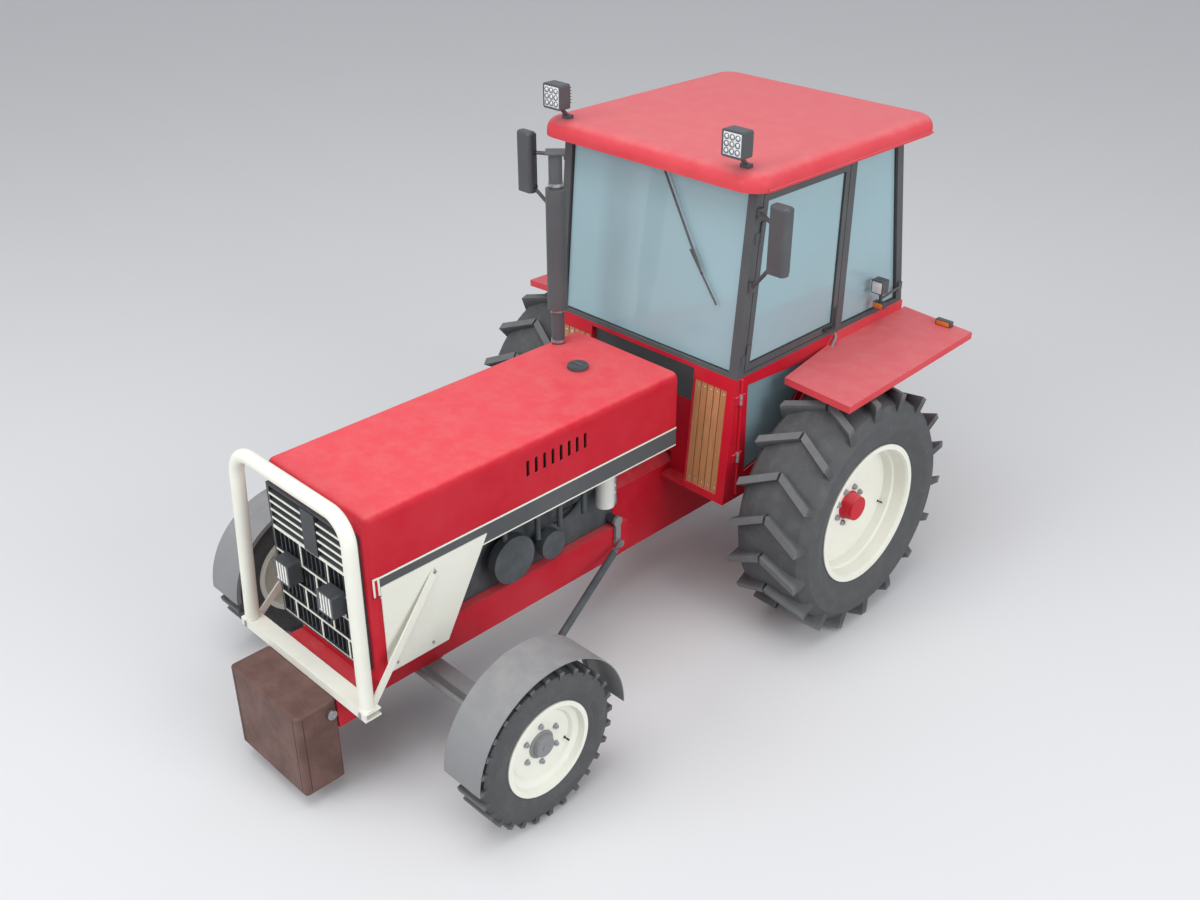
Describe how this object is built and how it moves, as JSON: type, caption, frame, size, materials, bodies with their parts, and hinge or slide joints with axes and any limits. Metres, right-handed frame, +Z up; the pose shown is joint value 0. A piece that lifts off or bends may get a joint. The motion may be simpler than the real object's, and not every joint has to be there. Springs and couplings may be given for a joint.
{
  "type": "vintage farm tractor",
  "caption": "Farm tractor with glazed cab, lugged rear tyres, front mudguards, front guard bar, ballast box, upright exhaust and a rear three-point hitch.",
  "frame": {"origin": "on the ground, at the centre of the tractor's length and width", "axes": "+Z up, the nose points along -Y, the driver's left is +X"},
  "size_m": [2.868, 4.672, 3.2058],
  "materials": {
    "paint_red": "semi-gloss red paint",
    "paint_roof": "satin weathered red paint",
    "paint_cream": "semi-gloss cream paint",
    "paint_dark": "satin dark grey paint",
    "paint_guard": "satin mid grey paint",
    "paint_brown": "painted brown casting",
    "engine_grey": "painted grey casting",
    "grille_black": "satin black with cream bars",
    "stripe_dark": "dark band with cream edge lines",
    "tyre_rubber": "matt black rubber",
    "steel_bright": "bare and zinc plated steel",
    "lamp_black": "lamp housings with pale lenses",
    "glass_clear": "pale blue tinted glass",
    "glass_dark": "dark tinted glass",
    "wood": "oiled wooden slats",
    "vinyl": "black seat vinyl",
    "mirror_black": "moulded black housings"
  },
  "bodies": {
    "tractor": {"frame_rails": "paint_red", "weight_box": "paint_brown", "bull_bar": "paint_cream", "hood": "paint_red", "side_stripes": "stripe_dark", "side_panels": "paint_cream", "radiator": "engine_grey", "grille": "grille_black", "headlamps": "lamp_black", "engine": "engine_grey", "exhaust_stack": "paint_dark", "fuel_tank": "engine_grey", "transmission": "paint_red", "front_axle_beam": "paint_guard", "cab_frame": "paint_dark", "cab_glass": "glass_clear", "cab_lower": "paint_red", "lower_leaves": "paint_red", "lower_glass": "glass_dark", "cab_floor": "paint_dark", "slat_panels": "wood", "roof": "paint_roof", "mirrors": "mirror_black", "roof_lamps": "lamp_black", "rear_fenders": "paint_roof", "rear_lamps": "lamp_black", "seat_base": "paint_dark", "seat_cushion": "vinyl", "seat_back": "vinyl", "dashboard": "paint_dark", "controls": "paint_dark", "rear_linkage": "steel_bright"},
    "door_left": {"door_left": "paint_dark", "door_left_glass": "glass_clear"},
    "door_right": {"door_right": "paint_dark", "door_right_glass": "glass_clear"},
    "knuckle_left": {"knuckle_left": "paint_guard", "mudguard_left": "paint_guard"},
    "knuckle_right": {"knuckle_right": "paint_guard", "mudguard_right": "paint_guard"},
    "tie_rod": {"tie_rod": "paint_guard"},
    "drag_link": {"drag_link": "steel_bright"},
    "drop_arm": {"drop_arm": "paint_guard"},
    "front_wheel_left": {"front_tyre_left": "tyre_rubber", "front_rim_left": "paint_cream"},
    "front_wheel_right": {"front_tyre_right": "tyre_rubber", "front_rim_right": "paint_cream"},
    "rear_wheel_left": {"rear_tyre_left": "tyre_rubber", "rear_rim_left": "paint_cream"},
    "rear_wheel_right": {"rear_tyre_right": "tyre_rubber", "rear_rim_right": "paint_cream"}
  },
  "joints": [
    {"name": "rear_wheel_left_spin", "type": "hinge", "parent": "tractor", "child": "rear_wheel_left", "pos_m": [1.16, 1.1625, 0.799], "axis": [1, 0, 0], "continuous": true},
    {"name": "rear_wheel_right_spin", "type": "hinge", "parent": "tractor", "child": "rear_wheel_right", "pos_m": [-1.16, 1.1625, 0.799], "axis": [1, 0, 0], "continuous": true},
    {"name": "steer", "type": "hinge", "parent": "tractor", "child": "knuckle_left", "pos_m": [0.93, -1.4375, 0.445], "axis": [0, 0, 1], "range_deg": [-35, 35]},
    {"name": "steer_right", "type": "hinge", "parent": "tractor", "child": "knuckle_right", "pos_m": [-0.93, -1.4375, 0.445], "axis": [0, 0, 1], "range_deg": [-35.1, 35.1]},
    {"name": "front_wheel_left_spin", "type": "hinge", "parent": "knuckle_left", "child": "front_wheel_left", "pos_m": [1.15, -1.4375, 0.463], "axis": [1, 0, 0], "continuous": true},
    {"name": "front_wheel_right_spin", "type": "hinge", "parent": "knuckle_right", "child": "front_wheel_right", "pos_m": [-1.15, -1.4375, 0.463], "axis": [1, 0, 0], "continuous": true},
    {"name": "tie_rod_pivot", "type": "hinge", "parent": "knuckle_left", "child": "tie_rod", "pos_m": [0.93, -1.5325, 0.47], "axis": [0, 0, 1], "range_deg": [-35.1, 35.1]},
    {"name": "drag_link_pivot", "type": "hinge", "parent": "knuckle_left", "child": "drag_link", "pos_m": [0.859, -1.4615, 0.315], "axis": [0, 0, 1], "range_deg": [-35, 35]},
    {"name": "drop_arm_swing", "type": "hinge", "parent": "tractor", "child": "drop_arm", "pos_m": [0.3, 0.0235, 0.772], "axis": [1, 0, 0], "range_deg": [-20, 20]},
    {"name": "door_left_hinge", "type": "hinge", "parent": "tractor", "child": "door_left", "pos_m": [0.775, 0.6673, 2.28], "axis": [0, -0.0817, -0.9967], "range_deg": [0, 70]},
    {"name": "door_right_hinge", "type": "hinge", "parent": "tractor", "child": "door_right", "pos_m": [-0.775, 0.6673, 2.28], "axis": [0, 0.0817, 0.9967], "range_deg": [0, 70]}
  ],
  "couplings": [
    {"joint": "steer_right", "follows": "steer", "ratio": 1},
    {"joint": "tie_rod_pivot", "follows": "steer", "ratio": -1},
    {"joint": "drag_link_pivot", "follows": "steer", "ratio": -0.984},
    {"joint": "drop_arm_swing", "follows": "steer", "ratio": -0.51}
  ]
}
